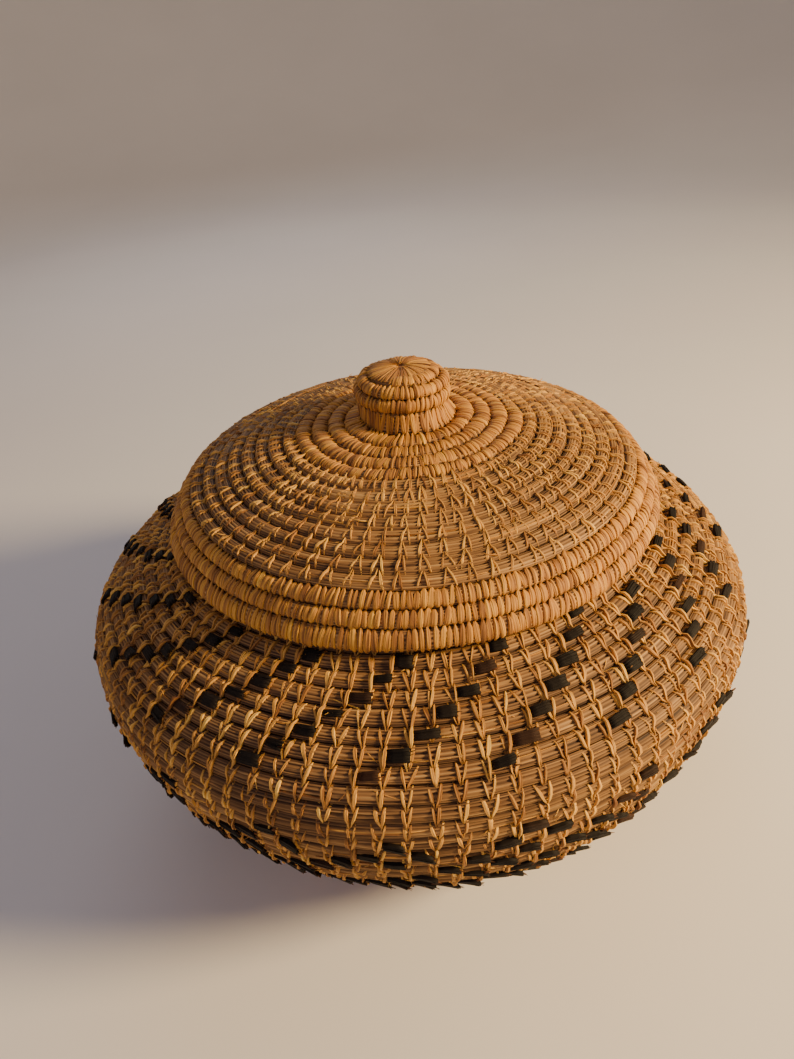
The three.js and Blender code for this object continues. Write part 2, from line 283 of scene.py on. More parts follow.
inwards = np.array([-math.cos(SHOULDER_SLOPE), math.sin(SHOULDER_SLOPE)])
seat = np.array([SEAT_RADIUS, SEAT_HEIGHT])
neck_corner = seat + inwards * (SEAT_RADIUS - NECK_RADIUS) / math.cos(SHOULDER_SLOPE)
corner_start = neck_corner - inwards * NECK_ROUNDING
corner_end = neck_corner + np.array([0, NECK_ROUNDING])
belly = (BELLY_RADIUS, BELLY_HEIGHT)
base_line = pulled_curve((0, 0), (FOOT_RADIUS, 0))
wall_curve = pulled_curve(
    (FOOT_RADIUS, 0),
    (FOOT_RADIUS + FOOT_ROUNDING, 0),
    (BELLY_RADIUS, BELLY_HEIGHT - BELLY_RISE),
    belly,
)
shoulder_curve = pulled_curve(
    belly, (BELLY_RADIUS, BELLY_HEIGHT + SHOULDER_RISE), seat - inwards * SHOULDER_RUN, seat
)
neck_curve = np.vstack(
    [
        pulled_curve(seat, corner_start),
        pulled_curve(corner_start, neck_corner, corner_end)[1:],
        pulled_curve(corner_end, (NECK_RADIUS, NECK_TOP))[1:],
    ]
)
print("wall from foot to lid:", round(length_of(wall_curve) + length_of(shoulder_curve)), "mm")

# %% [markdown]
# ## The outline of the lid
#
# The lid starts at the crown of its knob, goes down the knob's side, out over a field that is part
# of a large ball, and down a nearly upright band that overhangs the collar. The field could be a
# flat ring, but its slight doming is what catches the light.

# %% Outline of the lid
LID_RADIUS, LID_EDGE = 109, 142.9
FIELD_RADIUS, FIELD_EDGE = 94, 165.4
BAND_SLOPE, BAND_TURN_IN, BAND_UPRIGHT = math.radians(81), 7, 8
WRAPPED_RADIUS, DOME_RADIUS = 45, 240
KNOB_RADIUS, KNOB_HEIGHT, KNOB_CROWN = 19, 21.5, 17
KNOB_SIDE, KNOB_SWELL, KNOB_ROUNDING = 12, 4, 5

dome_centre = FIELD_EDGE - math.sqrt(DOME_RADIUS**2 - FIELD_RADIUS**2)


def dome_arc(start, end):
    """Points on the domed field, from one distance to another from the axis."""
    radii = np.linspace(start, end, CURVE_POINTS)
    return np.stack([radii, dome_centre + np.sqrt(DOME_RADIUS**2 - radii**2)], axis=1)


knob_base = dome_arc(KNOB_RADIUS, KNOB_RADIUS)[0]
knob_foot_top = knob_base + np.array([0, KNOB_ROUNDING])
knob_foot_end = dome_arc(KNOB_RADIUS + KNOB_ROUNDING, KNOB_RADIUS + KNOB_ROUNDING)[0]
crown = knob_base[1] + KNOB_HEIGHT
knob_curve = pulled_curve(
    (0, crown),
    (KNOB_CROWN, crown),
    knob_foot_top + np.array([KNOB_SWELL, KNOB_SIDE]),
    knob_foot_top,
)
knob_foot_curve = np.vstack(
    [
        pulled_curve(knob_foot_top, knob_base, knob_foot_end),
        dome_arc(knob_foot_end[0], WRAPPED_RADIUS)[1:],
    ]
)
field_curve = dome_arc(WRAPPED_RADIUS, FIELD_RADIUS)
field_slope = math.asin(FIELD_RADIUS / DOME_RADIUS)
band_curve = pulled_curve(
    (FIELD_RADIUS, FIELD_EDGE),
    (
        FIELD_RADIUS + BAND_TURN_IN * math.cos(field_slope),
        FIELD_EDGE - BAND_TURN_IN * math.sin(field_slope),
    ),
    (
        LID_RADIUS - BAND_UPRIGHT * math.cos(BAND_SLOPE),
        LID_EDGE + BAND_UPRIGHT * math.sin(BAND_SLOPE),
    ),
    (LID_RADIUS, LID_EDGE),
)
print("top of the knob:", round(crown, 1), "mm above the floor")

# %% [markdown]
# ## From a place on the coil to a point in space
#
# A place on a coil has three numbers: how many turns along the spiral it is, how far across its
# row (0 at the older row's side, 1 at the newer row's side), and how high it lies above the row.
# One function turns these into points. Every stem, stitch and strip below goes through it, so all
# of them follow the same spiral, and the slight unevenness of handwork is added in one place. Each
# piece could be given its own noise instead, but then stitches would float off their rows.
#
# Nobody leaves a long thin tail at the edge of a basket. Where less than about half a row is left
# beside the last whole row, that row is made wider instead, up to the edge. And what would stick
# out below the base is pressed nearly flat, as a table does to a basket that stands on it.

# %% The coil
BUTTON_RADIUS = 4
HALF_ROW, HALF_ROW_FADE = 0.55, 0.1  # where less is left, the last row takes it in, bit by bit
THINNEST_ROW = 0.8
EDGE_UNEVEN, EDGE_EVEN = 45, 25  # millimetres before the edge, between which it gets even
SWAY, SWAYS = 0.22, ((1, 3, 0, 0.9), (1, 5, 2, -0.55))
DENTS = ((0.5, 2, 1.1, 0.02), (0.35, 5, 0, 0.05))
FLATTENED, PRESSED = 0.4, 0.2  # below this height, heights shrink to this share


def ripples(angle, along, waves):
    """Sum of waves: size, number round the basket, start, and drift per millimetre along."""
    return sum(
        size * np.sin(number * angle + along * drift + start)
        for size, number, start, drift in waves
    )


class Coil:
    """A spiral of rows on an outline. Each stretch is its names, its curve and its row height."""

    def __init__(self, body, stretches, outside, off_centre, calm):
        self.body, self.outside = body, outside
        self.off_centre, self.calm = off_centre, calm
        curves = [stretches[0][1]] + [curve[1:] for _, curve, _ in stretches[1:]]
        self.line = np.vstack(curves)
        self.along = np.concatenate([[0], np.cumsum(np.hypot(*np.diff(self.line, axis=0).T))])
        slope = np.gradient(self.line, self.along, axis=0)
        slope /= np.hypot(*slope.T)[:, None]
        self.normal = np.stack([slope[:, 1], -slope[:, 0]], axis=1) * outside
        # Each mark is the distance along the outline at which the turn beside it starts.
        self.turn_marks, self.marks, self.runs = [0], [BUTTON_RADIUS], {}
        for names, curve, row in stretches:
            start = self.marks[-1]
            end = length_of(curve) + (start if len(self.marks) > 1 else 0)
            rows = max(2 * len(names), round((end - start) / row))
            first = self.turn_marks[-1]
            shares = [first + round(rows * k / len(names)) for k in range(len(names) + 1)]
            self.runs.update(zip(names, zip(shares, shares[1:])))
            self.turn_marks.append(first + rows)
            self.marks.append(end)
        self.turns, self.length = self.turn_marks[-1], self.marks[-1]
        self.last_row = (self.marks[-1] - self.marks[-2]) / (self.turns - self.turn_marks[-2])
        first_row = (self.marks[1] - self.marks[0]) / self.turn_marks[1]
        self.turn_marks = [-1] + self.turn_marks + [self.turns + 1]
        self.marks = [BUTTON_RADIUS - first_row] + self.marks + [self.length + self.last_row]

    def distance(self, turn):
        """Millimetres along the outline to the older side of the row on this turn."""
        return np.interp(turn, self.turn_marks, self.marks)

    def radius(self, turn):
        """Of the middle of the row on this turn."""
        return np.interp(self.distance(turn + 0.5), self.along, self.line[:, 0])

    def way_round(self, turn):
        return 2 * math.pi * self.radius(turn)

    def row_height(self, turn):
        top = np.minimum(self.distance(turn + 1), self.length)
        rest = self.length - top
        widened = np.clip((HALF_ROW - rest / self.last_row) / HALF_ROW_FADE, 0, 1)
        return np.maximum(top + rest * widened - self.distance(turn), THINNEST_ROW)

    def points(self, turn, across, height):
        """Points in metres. Height is in millimetres above the row's crown, outside the basket."""
        turn, across, height = np.broadcast_arrays(turn, across, height)
        angle = 2 * math.pi * turn
        along = self.distance(turn) + across * self.row_height(turn)
        quiet = [*self.calm, self.length - EDGE_UNEVEN, self.length - EDGE_EVEN]
        fade = np.clip(np.interp(along, quiet, [0, 1, 1, 0]), 0, 1)
        along = along + SWAY * ripples(angle, along, SWAYS) * fade
        kept = np.clip(along, 0, self.length)
        radius, up = (np.interp(kept, self.along, column) for column in self.line.T)
        out_r, out_z = (np.interp(kept, self.along, column) for column in self.normal.T)
        beyond = along - kept
        radius = radius - beyond * out_z * self.outside
        up = up + beyond * out_r * self.outside
        height = height + ripples(angle, along, DENTS) * fade
        x = (radius + height * out_r) * np.cos(angle) + self.off_centre
        y = (radius + height * out_r) * np.sin(angle)
        z = up + height * out_z
        z = np.where(z < FLATTENED, FLATTENED + (z - FLATTENED) * PRESSED, z)
        return np.stack([x, y, z], axis=-1) * MM


# %% [markdown]
# ## The two spirals
#
# The bowl's rows are about as high as its wall is thick, the rows of the knob and the lid's band
# are a little higher, and those of the lid's field are a little lower. Each spiral is cut by name
# into the stretches in which a maker would speak of it. One row height and one name for each
# spiral would do, but then no part of it could be changed alone. The base and the knob are calm,
# because the one has to stand flat and the other is too small for unevenness. The lid lies on the
# bowl a little off its centre, as far as its collar lets it.

# %% Bowl and lid
BOWL_ROW, KNOB_ROW, FIELD_ROW, BAND_ROW = 6.5, 7.2, 6.1, 6.75
WRAPPED = {"neck", "mouth", "knob", "knob_foot", "lid_band"}  # the others have open stitches

bowl = Coil(
    "bowl",
    [
        (["base"], base_line, BOWL_ROW),
        (["foot", "lower_wall", "belly"], wall_curve, BOWL_ROW),
        (["shoulder"], shoulder_curve, BOWL_ROW),
        (["neck", "mouth"], neck_curve, BOWL_ROW),
    ],
    outside=1,
    off_centre=0,
    calm=(64, 95),
)
lid = Coil(
    "lid",
    [
        (["knob"], knob_curve, KNOB_ROW),
        (["knob_foot"], knob_foot_curve, KNOB_ROW),
        (["inner_field", "outer_field"], field_curve, FIELD_ROW),
        (["lid_band"], band_curve, BAND_ROW),
    ],
    outside=-1,
    off_centre=2,
    calm=(8, 60),
)
for coil in (bowl, lid):
    print(coil.body + ":", coil.turns, "rows", coil.runs)

# %% [markdown]
# ## From points to a piece
#
# The basket has hundreds of thousands of small faces, and each strip lies in its own way. Copies
# made by an array modifier would all be alike, so the meshes are filled with whole arrays of
# points. A mesh piece also keeps two things that its material reads: a UV map that runs along the
# coil or strip, and one number per point called tone, which makes each strip a little lighter or
# darker. Where a strip has crisp edges, those edges are marked sharp, so that the shading breaks
# there.

# %% Mesh pieces
def volume_sign(points, faces):
    """1 where faces with four corners look outwards, and -1 where they look inwards."""
    a, b, c, d = (points[faces[:, k]] for k in range(4))
    total = np.einsum("ij,ij->", a, np.cross(b, c)) + np.einsum("ij,ij->", a, np.cross(c, d))
    return 1 if total > 0 else -1


def mark_sharp(mesh, pairs):
    """Marks the edges between these pairs of points, whichever end comes first."""

    def numbered(ends):
        return np.sort(ends, axis=1) @ np.array([len(mesh.vertices), 1])

    ends = np.empty(2 * len(mesh.edges), dtype=np.int32)
    mesh.edges.foreach_get("vertices", ends)
    crisp = np.isin(numbered(ends.reshape(-1, 2).astype(np.int64)), numbered(pairs))
    mark = mesh.attributes.new("sharp_edge", "BOOLEAN", "EDGE")
    mark.data.foreach_set("value", crisp)


def new_piece(name, part, material, body):
    """A mesh from arrays: points, faces, UV, tone and pairs of sharp ends."""
    points, faces, uv, tone, sharp = part
    mesh = bpy.data.meshes.new(name)
    mesh.from_pydata(points.tolist(), [], faces if isinstance(faces, list) else faces.tolist())
    layer = mesh.uv_layers.new(name="along")
    corners = np.empty(len(mesh.loops), dtype=np.int32)
    mesh.loops.foreach_get("vertex_index", corners)
    layer.data.foreach_set("uv", uv[corners].astype(np.float32).ravel())
    spots = mesh.attributes.new("tone", "FLOAT", "POINT")
    spots.data.foreach_set("value", tone.astype(np.float32))
    mesh.polygons.foreach_set("use_smooth", np.ones(len(mesh.polygons), dtype=bool))
    if len(sharp):
        mark_sharp(mesh, sharp)
    mesh.materials.append(material)
    mesh.update()
    piece = bpy.data.objects.new(name, mesh)
    bpy.context.scene.collection.objects.link(piece)
    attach(piece, body)
    return piece


# %% [markdown]
# ## The section of the grass bundle
#
# The bundle is a rope of stems, flattened a little where rows press on each other. It could be
# made of hundreds of thin tubes, most of them hidden inside. One tube is enough if its section is
# a rounded rectangle whose outer half is fluted, with one flute for each stem that shows.

# %% Bundle section
SHOWN_STEMS, INNER_POINTS = 9, 10
SECTION_POINTS = 2 * SHOWN_STEMS + INNER_POINTS
SQUARENESS = 0.85  # 1 is an ellipse and 0 a rectangle
CROWN_DEPTH = 0.35  # of the bundle below the wrapped surface
HALF_WIDTH, HALF_DEPTH = 0.505, THICKNESS / 2 - CROWN_DEPTH  # a share of the row, and millimetres
CROWN_FALL = 0.65  # below 1, most of the section counts as crown


def bundle_section():
    """Across and height of a section's points, and how near each is to the crown or its back."""
    outer = math.pi * np.arange(2 * SHOWN_STEMS) / (2 * SHOWN_STEMS)
    inner = math.pi + math.pi * np.arange(INNER_POINTS) / INNER_POINTS
    angle = np.concatenate([outer, inner])
    wide, high = np.cos(angle), np.sin(angle)
    across = 0.5 - HALF_WIDTH * np.sign(wide) * np.abs(wide) ** SQUARENESS
    height = -THICKNESS / 2 + HALF_DEPTH * np.sign(high) * np.abs(high) ** SQUARENESS
    return across, height, np.sign(high) * np.abs(high) ** CROWN_FALL


print("section:", SECTION_POINTS, "points,", round(2 * HALF_DEPTH, 1), "mm thick")

# %% [markdown]
# ## The grass bundle
#
# Carried along the spiral, each flute of the section draws one stem. Even flutes would do from far
# away, but real stems wander in and out by a fraction of a millimetre and change their colour
# over a few centimetres. So does each flute here, by slow waves of random lengths. The valleys
# between the flutes are painted darker and their crowns lighter, as painted shade. The sides of
# the rows, where they touch, are darker too, partly from dust and partly as painted shade of the
# grooves between rows. Where wraps press on the bundle, little of the flutes is left.

# %% Bundle
RING_SPACING = 4.2
SMALLEST_RADIUS = 16  # nearer the axis, a turn keeps the number of rings it has here
FLUTE, STEM_WANDER, STEM_WAVES = 0.4, 0.28, (23, 41, 90)
# The first tone number paints shade into the valleys between stems and light onto their crowns.
PAINTED_FLUTE_SHADE, TONE_WANDER, TONE_WAVES = 0.21, 0.14, (35, 75, 160)
WAVE_SPEEDS = (0.75, 1.3)
UNDER_WRAPS = 0.3  # of the flutes
# Per body: the crown's tone, and how much darker the sides of the rows are, partly dust and partly
# painted shade of the grooves between rows.
BUNDLE_TONES = {"bowl": (0.60, 0.60), "lid": (0.67, 0.48)}  # of the crown, and less on the sides


def tube_faces(rings, around):
    """Quads between rings of points."""
    ring = np.arange(rings - 1)[:, None] * around
    here = np.arange(around)[None, :]
    after = (here + 1) % around
    quads = np.stack([ring + here, ring + after, ring + around + after, ring + around + here], -1)
    return quads.reshape(-1, 4)


def wander(reach, wavelengths):
    """A smooth random number for each point of the section, at each distance along the coil."""
    total = np.zeros((len(reach), SECTION_POINTS))
    for wavelength in wavelengths:
        start = rng.uniform(0, 2 * math.pi, SECTION_POINTS)
        speed = 2 * math.pi / (wavelength * rng.uniform(*WAVE_SPEEDS, SECTION_POINTS))
        total += np.sin(reach[:, None] * speed + start)
    return total / math.sqrt(len(wavelengths))


def bundle(coil, first, last, loose):
    """One run of rows as a closed tube of stems. Loose is the share of the flutes that shows."""
    paleness, side_dust_and_shade = BUNDLE_TONES[coil.body]
    middle = coil.radius((first + last) / 2)
    step = RING_SPACING / (2 * math.pi * max(middle, SMALLEST_RADIUS))
    turn = np.linspace(first, last, int((last - first) / step) + 1)
    reach = np.cumsum(coil.way_round(turn)) * (turn[1] - turn[0])
    across, height, crown = bundle_section()
    flutes = np.where(np.arange(SECTION_POINTS) % 2, 1.0, -1.0) * (crown > 0)
    stems = STEM_WANDER * wander(reach, STEM_WAVES) + FLUTE * flutes
    points = coil.points(turn[:, None], across, height + loose * stems * np.clip(crown, 0, 1))
    uv = np.stack(np.broadcast_arrays(reach[:, None] * MM, across * BOWL_ROW * MM), axis=-1)
    # Random tone of each stem, plus painted shade in the flute valleys and painted light on the
    # crowns.
    tone = paleness + TONE_WANDER * wander(reach, TONE_WAVES) + PAINTED_FLUTE_SHADE * flutes
    # The sides of the rows are darker: partly dust, partly painted shade in the grooves between
    # rows.
    tone = np.clip(tone - side_dust_and_shade * (1 - np.abs(crown)), 0, 1)
    points, ring = points.reshape(-1, 3), np.arange(SECTION_POINTS)
    quads = tube_faces(len(turn), SECTION_POINTS)
    ends = [ring[::-1], len(points) - SECTION_POINTS + ring]
    turned = volume_sign(points, quads)
    faces = [face[::turned] for face in quads.tolist() + [end.tolist() for end in ends]]
    return points, faces, uv.reshape(-1, 2), tone.reshape(-1), []


# %% [markdown]
# ## The colour of the grass
#
# Seen close up, the bundle is brown with darker gaps and a few pale, shiny stems. The tone number
# colours whole stems and carries the painted shade of the gaps between them, and a stretched
# noise, which changes quickly across the row and slowly along it, adds the fine lines of the
# grass. A wave pattern draws lines too, but it draws them evenly.

# %% Grass material
ROUGHNESS, GLOSS, BUMP_STRENGTH = 0.68, 0.3, 0.6
NOISE_ROUGHNESS, SEED_STRETCH = 0.55, 1.7
GRASS_COLOURS = [
    (0.38, (0.016, 0.007, 0.004)),
    (0.52, (0.065, 0.028, 0.011)),
    (0.65, (0.165, 0.080, 0.031)),
    (0.80, (0.340, 0.175, 0.062)),
    (0.96, (0.560, 0.330, 0.125)),
]
# Each noise has a scale across, a scale along, a detail and a seed.
GRASS_STREAKS = [(1000, 30, 1.5, 3.0), (150, 9, 2.0, 11.0)]


def stretched(tree, across_scale, along_scale, detail, seed):
    """Noise that is drawn out along the UV map's first direction."""
    source = node(tree, "ShaderNodeUVMap", uv_map="along").outputs["UV"]
    mapping = node(tree, "ShaderNodeMapping")
    mapping.inputs["Scale"].default_value = (along_scale, across_scale, 1)
    mapping.inputs["Location"].default_value = (seed, seed * SEED_STRETCH, seed)
    join(tree, source, mapping.inputs["Vector"])
    made = node(
        tree, "ShaderNodeTexNoise", Scale=1.0, Detail=detail, Roughness=NOISE_ROUGHNESS
    )
    join(tree, mapping.outputs["Vector"], made.inputs["Vector"])
    return made.outputs["Fac"]


def bumped(tree, shader, source, strength, distance):
    made = node(tree, "ShaderNodeBump", Strength=strength, Distance=distance)
    join(tree, source, made.inputs["Height"])
    join(tree, made.outputs["Normal"], shader.inputs["Normal"])


def weighed(tree, pairs):
    """The sum of sockets, each multiplied by its weight."""
    total = 0.0
    for socket, weight in pairs:
        total = calculate(tree, "ADD", calculate(tree, "MULTIPLY", socket, weight), total)
    return total


def plant_material(name, colours, streaks, weights, bump, gloss=GLOSS):
    """Colours along a ramp, read from the tone number and from stretched noise, each weighed."""
    made, tree, shader = new_material(name)
    tone = node(tree, "ShaderNodeAttribute", attribute_name="tone").outputs["Fac"]
    noises = [stretched(tree, *numbers) for numbers in streaks]
    shade = weighed(tree, list(zip([tone] + noises, weights)))
    join(tree, ramp(tree, shade, colours), shader.inputs["Base Color"])
    shader.inputs["Roughness"].default_value = ROUGHNESS
    shader.inputs["Specular IOR Level"].default_value = gloss
    bumped(tree, shader, noises[0], BUMP_STRENGTH, bump)
    return made


grass = plant_material(
    "grass_bundle", GRASS_COLOURS, GRASS_STREAKS, weights=(0.6, 0.45, 0.25), bump=0.0006
)
print("grass material:", len(grass.node_tree.nodes), "nodes")

# %% [markdown]
# ## Laying the bundles
#
# Each named run gets its own bundle. The first one of a spiral starts at the button, and the last
# one ends a little early, where a maker thins the bundle out and sews it down. All the runs of a
# spiral could be one piece, but a run with a name can be changed alone, and it takes the place of
# one solid of the plain model.

# %% Bundles
LEAD_IN, TAIL = 0.55, 0.45  # of a turn

total = 0
for coil in (bowl, lid):
    for name, (first, last) in coil.runs.items():
        start = first - LEAD_IN if first == 0 else first
        end = last - TAIL if last == coil.turns else last
        loose = UNDER_WRAPS if name in WRAPPED else 1
        piece = new_piece(name + "_bundle", bundle(coil, start, end, loose), grass, coil.body)
        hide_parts(name + "_coil")
        total += len(piece.data.polygons)
print("bundles:", total, "faces")

# %% [markdown]
# ## Selecting by place
#
# In edit mode an operator works on what is selected. By hand one clicks on points, edges or faces.
# A script could pick them by number, but the numbers change with each cut. It picks them by where
# they are or which way they run instead, and that also says what is meant.

# %% Selecting
def select(mesh, kind, wanted):
    """Goes to edit mode with just those points, edges or faces selected that are wanted."""
    bpy.ops.object.mode_set(mode="EDIT")
    bpy.ops.mesh.select_mode(type=kind)
    bpy.ops.mesh.select_all(action="DESELECT")
    bpy.ops.object.mode_set(mode="OBJECT")
    items = {"VERT": mesh.vertices, "EDGE": mesh.edges, "FACE": mesh.polygons}[kind]
    for item in items:
        item.select = wanted(item)
    bpy.ops.object.mode_set(mode="EDIT")


def runs_along(mesh, edge, axis):
    """Whether an edge of a bar one unit big runs along X (0), Y (1) or Z (2)."""
    a, b = (mesh.vertices[k].co for k in edge.vertices)
    return abs(a[axis] - b[axis]) > 0.5


# %% [markdown]
# ## Shapes of split straw
#
# Every stitch and every wrap is a split straw, flat below and rounded above. It is modelled once,
# as a bar that is subdivided along its length, and each ring of its points is then made narrower
# or wider. A stitch leg is slim and comes to a point where it leaves the older row. A wrap is as
# wide as it has room, with a narrow end in the hole of the older row, and has a ridge along its
# back. The points are then copied and bent over the rows. Thousands of copies need a shape with
# few faces, so what is round about a straw is left to the shading.

# %% Straw shapes
NEAR = 0.01  # of a bar that is one unit long


def as_arrays(strip):
    """Points, faces and long outer edges of a modelled strip, which is then removed."""
    mesh = strip.data
    points = np.array([vertex.co for vertex in mesh.vertices])
    faces = np.array([tuple(face.vertices) for face in mesh.polygons])
    ends = np.array([edge.vertices for edge in mesh.edges])
    lengthwise = np.abs(points[ends[:, 0], 1] - points[ends[:, 1], 1]) > NEAR
    outer = np.abs(points[ends[:, 0], 0]) > NEAR
    bpy.data.objects.remove(strip)
    bpy.data.meshes.remove(mesh)
    return points, faces, ends[lengthwise & outer]


def model_strip(name, rings, top_width, ridge=0.0):
    """A bar one unit wide (X), long (Y) and thick (Z), with a width and a thickness per ring."""
    deselect_all()
    bpy.ops.mesh.primitive_cube_add(size=1, location=(0, 0.5, 0.5))
    strip = bpy.context.object
    strip.name = name
    bpy.ops.object.transform_apply(location=True)
    mesh = strip.data
    select(mesh, "EDGE", lambda edge: runs_along(mesh, edge, 1))
    bpy.ops.mesh.subdivide(number_cuts=len(rings) - 2)
    if ridge:
        select(mesh, "EDGE", lambda edge: runs_along(mesh, edge, 0))
        bpy.ops.mesh.subdivide(number_cuts=1)
    select(mesh, "VERT", lambda vertex: vertex.co.z > 0.5)
    bpy.ops.transform.resize(value=(top_width, 1, 1 - ridge), center_override=(0, 0.5, 0))
    if ridge:
        select(mesh, "VERT", lambda vertex: vertex.co.z > 0.5 and abs(vertex.co.x) < NEAR)
        bpy.ops.transform.translate(value=(0, 0, ridge))
    for k, (width, thickness) in enumerate(rings):
        place = k / (len(rings) - 1)
        select(mesh, "VERT", lambda vertex: abs(vertex.co.y - place) < NEAR)
        bpy.ops.transform.resize(value=(width, 1, thickness), center_override=(0, place, 0))
    bpy.ops.object.mode_set(mode="OBJECT")
    return as_arrays(strip)


LEG_RINGS = [(0.2, 0.4), (0.8, 1), (1, 1), (0.95, 1), (0.65, 0.6)]
WRAP_RINGS = [(0.35, 0.5), (0.9, 1), (1, 1), (1, 1), (0.9, 0.95), (0.4, 0.6)]
STEM_RINGS = [(0.3, 0.4)] + [(1, 1)] * 7 + [(0.3, 0.4)]
leg_shape = model_strip("stitch_leg", LEG_RINGS, top_width=0.68)
wrap_shape = model_strip("wrap", WRAP_RINGS, top_width=0.8, ridge=0.3)
stem_shape = model_strip("stem", STEM_RINGS, top_width=0.6)
print("faces of a leg, a wrap, a stem:", [len(s[1]) for s in (leg_shape, wrap_shape, stem_shape)])

# %% [markdown]
# ## The colour of the straw
#
# The straw is golden and a little glossy, with fine streaks along each strip. The tone number
# makes some strips nearly cream and others orange brown, as sun and handling do. The stitches and
# the wraps are the same straw, but the wraps are handled more. One material would do for both, but
# with two the wraps can have a deeper gold.

# %% Straw materials
STITCH_COLOURS = [
    (0.40, (0.17, 0.064, 0.020)),
    (0.60, (0.44, 0.200, 0.048)),
    (0.75, (0.71, 0.380, 0.080)),
    (1.00, (0.93, 0.610, 0.140)),
]
WRAP_COLOURS = [
    (0.41, (0.11, 0.040, 0.013)),
    (0.61, (0.36, 0.152, 0.038)),
    (0.76, (0.62, 0.300, 0.052)),
    (1.00, (0.92, 0.550, 0.085)),
]
STREAKS = [(6, 0.4, 2.0, 5.0)]

stitch_straw = plant_material(
    "stitch_straw", STITCH_COLOURS, STREAKS, weights=(0.5, 0.8), bump=0.0006
)
wrap_straw = plant_material(
    "wrap_straw", WRAP_COLOURS, STREAKS, weights=(0.42, 0.9), bump=0.001
)
print("materials so far:", [made.name for made in (grass, stitch_straw, wrap_straw)])

# %% [markdown]
# ## Laying strips on the coil
#
# A strip is laid by a few sets of numbers: where its two ends are along the coil and across the
# row, how wide and how thick it is, how far its ends are lifted, and its tone. The height of each
# of its points follows the row's own rounded section, so a strip hugs the row and dips into the
# groove beside it. A curve modifier could bend a strip like this, but only one at a time. Here a
# whole run is laid at once.

# %% Laying strips
GROOVE = 0.985  # of the half width, past which the groove gets no deeper
STREAK_WIDTH, STREAK_JUMP = 0.5, 9  # strips of different tone read other parts of the noise


def row_rise(across):
    """Height of the rows' surface, 0 on a crown. A place below 0 across is on the older row."""
    across = np.where(across < 0, across + 1, across)
    wide = np.clip(np.abs((across - 0.5) / HALF_WIDTH), 0, GROOVE)
    power = 2 / SQUARENESS
    return HALF_DEPTH * ((1 - wide**power) ** (1 / power) - 1)


def lay_strips(
    coil, shape, turn, start, end, width, thick, tone, lift=(0.0, 0.0), sunk=0.12, hug=1.0, side=1
):
    """Copies of a shape, one for each turn given, each with its own ends, width and so on.

    start and end are (millimetres along the coil, share across the row). lift is how far the two
    ends stand off, sunk how deep the flat back lies, and hug the share of the row's rounding that
    the strip follows. Side is 1 outside the basket and -1 inside it.
    """
    points, faces, sharp = shape
    across_strip, along_strip, up = (column[None, :] for column in points.T)
    turn, start_x, start_y, end_x, end_y, width, thick, tone, lift_start, lift_end = (
        values[:, None]
        for values in np.broadcast_arrays(turn, *start, *end, width, thick, tone, *lift)
    )
    row = coil.row_height(turn)
    run_x, run_y = end_x - start_x, (end_y - start_y) * row
    long = np.hypot(run_x, run_y)
    x = start_x + run_x * along_strip + across_strip * width * run_y / long
    y = start_y + (run_y * along_strip - across_strip * width * run_x / long) / row
    lifted = lift_start + (lift_end - lift_start) * along_strip**2
    rise = row_rise(y) * hug + lifted + up * thick - sunk
    height = rise - CROWN_DEPTH if side > 0 else -THICKNESS + CROWN_DEPTH - rise
    laid = coil.points(turn + x / coil.way_round(turn), y, height).reshape(-1, 3)
    streaks = across_strip * STREAK_WIDTH + tone * STREAK_JUMP
    uv = np.stack(np.broadcast_arrays(along_strip, streaks), axis=-1)
    count = len(points)
    before = np.arange(len(turn))[:, None, None] * count
    corners = faces[:, :: volume_sign(laid[:count], faces)]
    all_faces, all_sharp = (before + corners).reshape(-1, 4), (before + sharp).reshape(-1, 2)
    return laid, all_faces, uv.reshape(-1, 2), np.repeat(tone[:, 0], count), all_sharp


def stack(parts):
    """Joins the arrays of several sets of strips."""
    points, faces, uv, tone, sharp = zip(*parts)
    before = np.cumsum([0] + [len(some) for some in points])
    faces, sharp = (
        np.concatenate([some + count for some, count in zip(arrays, before)])
        for arrays in (faces, sharp)
    )
    return np.concatenate(points), faces, np.concatenate(uv), np.concatenate(tone), sharp


def between(limits, count):
    return rng.uniform(*limits, count)


def near(middle, spread, count):
    """Random tones that lie near the middle one, none below 0 or above 1."""
    return np.clip(rng.normal(middle, spread, count), 0, 1)


# %% [markdown]
# ## Where the stitches are
#
# Stitches stand in columns from the base to the shoulder, and over the lid's field. The columns
# lean a little, because there is a fraction of a stitch more or less than a whole number in each
# turn. Near the axis there is less room, so only every second, fourth or eighth column starts
# there.
#
# Short dark strips are laid into the bowl's rows in slanting lines. Each is held at its left end
# by the right leg of a stitch, and the line moves on by one stitch in each row, so the choice is
# made by counting stitches. They could be placed by angle instead, but then some would have no
# stitch to hold them.

# %% Places of the stitches
BOWL_COLUMNS, LID_COLUMNS = 100, 70
# The columns in a turn, the part of a stitch by which they lean, and the width of a leg.
SEWING = {"bowl": (BOWL_COLUMNS, -0.05, 1.3), "lid": (LID_COLUMNS, 0.10, 1.0)}
ROOM_FOR_EACH, ROOM_FOR_SECOND, ROOM_FOR_FOURTH = 3.3, 1.6, 0.8
ARM_SPACING, ARM_REPEAT, FIRST_ARM = 5, BOWL_COLUMNS + 1, 1  # in stitches
BETWEEN_ARMS, BETWEEN_SHARE = 2, 0.6
UPPER_ROWS, LOWER_ROWS, BETWEEN_ROWS = (25.3, 32.6), (8, 22.6), (8, 21)  # counted from the foot


